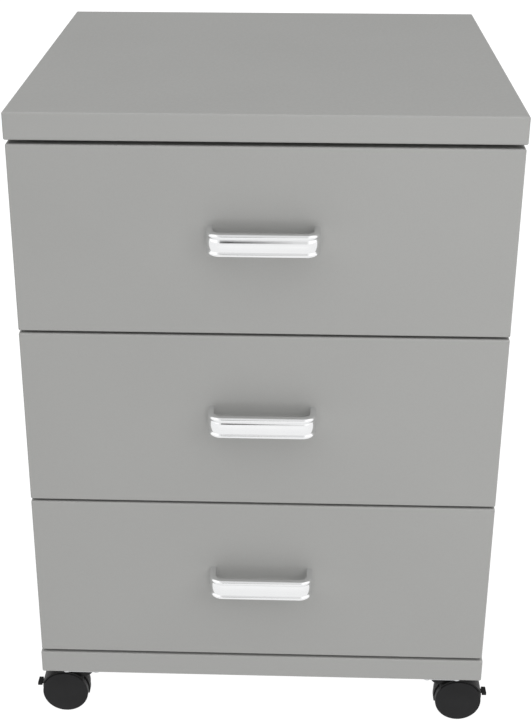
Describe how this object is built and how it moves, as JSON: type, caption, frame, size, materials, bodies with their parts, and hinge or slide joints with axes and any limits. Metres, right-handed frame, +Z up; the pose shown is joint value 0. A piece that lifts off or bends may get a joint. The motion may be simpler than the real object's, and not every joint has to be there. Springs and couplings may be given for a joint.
{
  "type": "rolling pedestal cabinet",
  "caption": "Under-desk pedestal cabinet with stacked drawers on roller runners, ribbed bow handles, a flush top and twin-wheel swivel casters.",
  "frame": {"origin": "on the floor under the middle of the whole object's box, handles included", "axes": "+X to the right seen from the drawer fronts, -Y towards the person who opens the drawers, +Z up"},
  "size_m": [0.417, 0.426, 0.572],
  "materials": {
    "grey_laminate": "fine matt grey melamine",
    "grey_edging": "matt plastic edge band",
    "drawer_board": "pale melamine board",
    "handle_metal": "satin bright",
    "rail_enamel": "white epoxy enamel",
    "roller_nylon": "white nylon",
    "zinc_screw": "zinc plated",
    "zinc_fitting": "die-cast zinc",
    "caster_housing_plastic": "moulded black",
    "wheel_plastic": "moulded black",
    "caster_steel": "zinc plated"
  },
  "bodies": {
    "cabinet": {"top_panel": "grey_laminate", "top_edging": "grey_edging", "bottom_panel": "grey_laminate", "left_side_panel": "grey_laminate", "right_side_panel": "grey_laminate", "back_panel": "grey_laminate", "carcass_edging": "grey_edging", "cam_locks": "zinc_fitting", "cam_bolts": "zinc_fitting", "base_screws": "zinc_screw", "cabinet_rails": "rail_enamel", "rail_screws": "zinc_screw", "caster_plates": "caster_steel", "caster_kingpins": "caster_steel", "caster_screws": "zinc_screw"},
    "drawer_1": {"drawer_1_front": "grey_laminate", "drawer_1_front_edging": "grey_edging", "drawer_1_handle": "handle_metal", "drawer_1_box_walls": "drawer_board", "drawer_1_box_bottom": "drawer_board", "drawer_1_runner_rails": "rail_enamel", "drawer_1_screws": "zinc_screw"},
    "drawer_1_front_rollers": {"drawer_1_front_rollers": "roller_nylon"},
    "drawer_1_rear_rollers": {"drawer_1_rear_rollers": "roller_nylon"},
    "drawer_2": {"drawer_2_front": "grey_laminate", "drawer_2_front_edging": "grey_edging", "drawer_2_handle": "handle_metal", "drawer_2_box_walls": "drawer_board", "drawer_2_box_bottom": "drawer_board", "drawer_2_runner_rails": "rail_enamel", "drawer_2_screws": "zinc_screw"},
    "drawer_2_front_rollers": {"drawer_2_front_rollers": "roller_nylon"},
    "drawer_2_rear_rollers": {"drawer_2_rear_rollers": "roller_nylon"},
    "drawer_3": {"drawer_3_front": "grey_laminate", "drawer_3_front_edging": "grey_edging", "drawer_3_handle": "handle_metal", "drawer_3_box_walls": "drawer_board", "drawer_3_box_bottom": "drawer_board", "drawer_3_runner_rails": "rail_enamel", "drawer_3_screws": "zinc_screw"},
    "drawer_3_front_rollers": {"drawer_3_front_rollers": "roller_nylon"},
    "drawer_3_rear_rollers": {"drawer_3_rear_rollers": "roller_nylon"},
    "front_left_swivel": {"front_left_caster_housing": "caster_housing_plastic", "front_left_caster_axle": "caster_steel"},
    "front_left_outer_wheel": {"front_left_outer_wheel": "wheel_plastic"},
    "front_left_inner_wheel": {"front_left_inner_wheel": "wheel_plastic"},
    "front_left_brake": {"front_left_brake_lever": "caster_housing_plastic"},
    "front_right_swivel": {"front_right_caster_housing": "caster_housing_plastic", "front_right_caster_axle": "caster_steel"},
    "front_right_outer_wheel": {"front_right_outer_wheel": "wheel_plastic"},
    "front_right_inner_wheel": {"front_right_inner_wheel": "wheel_plastic"},
    "front_right_brake": {"front_right_brake_lever": "caster_housing_plastic"},
    "rear_left_swivel": {"rear_left_caster_housing": "caster_housing_plastic", "rear_left_caster_axle": "caster_steel"},
    "rear_left_outer_wheel": {"rear_left_outer_wheel": "wheel_plastic"},
    "rear_left_inner_wheel": {"rear_left_inner_wheel": "wheel_plastic"},
    "rear_right_swivel": {"rear_right_caster_housing": "caster_housing_plastic", "rear_right_caster_axle": "caster_steel"},
    "rear_right_outer_wheel": {"rear_right_outer_wheel": "wheel_plastic"},
    "rear_right_inner_wheel": {"rear_right_inner_wheel": "wheel_plastic"}
  },
  "joints": [
    {"name": "drawer_1_slide", "type": "slide", "parent": "cabinet", "child": "drawer_1", "axis": [0, -1, 0], "range_m": [0, 0.265]},
    {"name": "drawer_1_front_roller_turn", "type": "hinge", "parent": "cabinet", "child": "drawer_1_front_rollers", "pos_m": [0, -0.154, 0.4175], "axis": [1, 0, 0], "continuous": true},
    {"name": "drawer_1_rear_roller_turn", "type": "hinge", "parent": "drawer_1", "child": "drawer_1_rear_rollers", "pos_m": [0, 0.166, 0.4175], "axis": [1, 0, 0], "continuous": true},
    {"name": "drawer_2_slide", "type": "slide", "parent": "cabinet", "child": "drawer_2", "axis": [0, -1, 0], "range_m": [0, 0.265]},
    {"name": "drawer_2_front_roller_turn", "type": "hinge", "parent": "cabinet", "child": "drawer_2_front_rollers", "pos_m": [0, -0.154, 0.26], "axis": [1, 0, 0], "continuous": true},
    {"name": "drawer_2_rear_roller_turn", "type": "hinge", "parent": "drawer_2", "child": "drawer_2_rear_rollers", "pos_m": [0, 0.166, 0.26], "axis": [1, 0, 0], "continuous": true},
    {"name": "drawer_3_slide", "type": "slide", "parent": "cabinet", "child": "drawer_3", "axis": [0, -1, 0], "range_m": [0, 0.265]},
    {"name": "drawer_3_front_roller_turn", "type": "hinge", "parent": "cabinet", "child": "drawer_3_front_rollers", "pos_m": [0, -0.154, 0.1025], "axis": [1, 0, 0], "continuous": true},
    {"name": "drawer_3_rear_roller_turn", "type": "hinge", "parent": "drawer_3", "child": "drawer_3_rear_rollers", "pos_m": [0, 0.166, 0.1025], "axis": [1, 0, 0], "continuous": true},
    {"name": "front_left_swivel_turn", "type": "hinge", "parent": "cabinet", "child": "front_left_swivel", "pos_m": [-0.165, -0.168, 0.049], "axis": [0, 0, 1], "continuous": true},
    {"name": "front_left_outer_wheel_spin", "type": "hinge", "parent": "front_left_swivel", "child": "front_left_outer_wheel", "pos_m": [-0.182, -0.168, 0.021], "axis": [0, 1, 0], "continuous": true},
    {"name": "front_left_inner_wheel_spin", "type": "hinge", "parent": "front_left_swivel", "child": "front_left_inner_wheel", "pos_m": [-0.182, -0.168, 0.021], "axis": [0, 1, 0], "continuous": true},
    {"name": "front_left_brake_press", "type": "hinge", "parent": "front_left_swivel", "child": "front_left_brake", "pos_m": [-0.194, -0.168, 0.024], "axis": [0, -1, 0], "range_deg": [0, 11]},
    {"name": "front_right_swivel_turn", "type": "hinge", "parent": "cabinet", "child": "front_right_swivel", "pos_m": [0.165, -0.168, 0.049], "axis": [0, 0, 1], "continuous": true},
    {"name": "front_right_outer_wheel_spin", "type": "hinge", "parent": "front_right_swivel", "child": "front_right_outer_wheel", "pos_m": [0.182, -0.168, 0.021], "axis": [0, 1, 0], "continuous": true},
    {"name": "front_right_inner_wheel_spin", "type": "hinge", "parent": "front_right_swivel", "child": "front_right_inner_wheel", "pos_m": [0.182, -0.168, 0.021], "axis": [0, 1, 0], "continuous": true},
    {"name": "front_right_brake_press", "type": "hinge", "parent": "front_right_swivel", "child": "front_right_brake", "pos_m": [0.194, -0.168, 0.024], "axis": [0, 1, 0], "range_deg": [0, 11]},
    {"name": "rear_left_swivel_turn", "type": "hinge", "parent": "cabinet", "child": "rear_left_swivel", "pos_m": [-0.165, 0.192, 0.049], "axis": [0, 0, 1], "continuous": true},
    {"name": "rear_left_outer_wheel_spin", "type": "hinge", "parent": "rear_left_swivel", "child": "rear_left_outer_wheel", "pos_m": [-0.182, 0.192, 0.021], "axis": [0, 1, 0], "continuous": true},
    {"name": "rear_left_inner_wheel_spin", "type": "hinge", "parent": "rear_left_swivel", "child": "rear_left_inner_wheel", "pos_m": [-0.182, 0.192, 0.021], "axis": [0, 1, 0], "continuous": true},
    {"name": "rear_right_swivel_turn", "type": "hinge", "parent": "cabinet", "child": "rear_right_swivel", "pos_m": [0.165, 0.192, 0.049], "axis": [0, 0, 1], "continuous": true},
    {"name": "rear_right_outer_wheel_spin", "type": "hinge", "parent": "rear_right_swivel", "child": "rear_right_outer_wheel", "pos_m": [0.182, 0.192, 0.021], "axis": [0, 1, 0], "continuous": true},
    {"name": "rear_right_inner_wheel_spin", "type": "hinge", "parent": "rear_right_swivel", "child": "rear_right_inner_wheel", "pos_m": [0.182, 0.192, 0.021], "axis": [0, 1, 0], "continuous": true}
  ],
  "couplings": [
    {"joint": "drawer_1_front_roller_turn", "follows": "drawer_1_slide", "rad_per_m": 100},
    {"joint": "drawer_1_rear_roller_turn", "follows": "drawer_1_slide", "rad_per_m": 100},
    {"joint": "drawer_2_front_roller_turn", "follows": "drawer_2_slide", "rad_per_m": 100},
    {"joint": "drawer_2_rear_roller_turn", "follows": "drawer_2_slide", "rad_per_m": 100},
    {"joint": "drawer_3_front_roller_turn", "follows": "drawer_3_slide", "rad_per_m": 100},
    {"joint": "drawer_3_rear_roller_turn", "follows": "drawer_3_slide", "rad_per_m": 100}
  ]
}
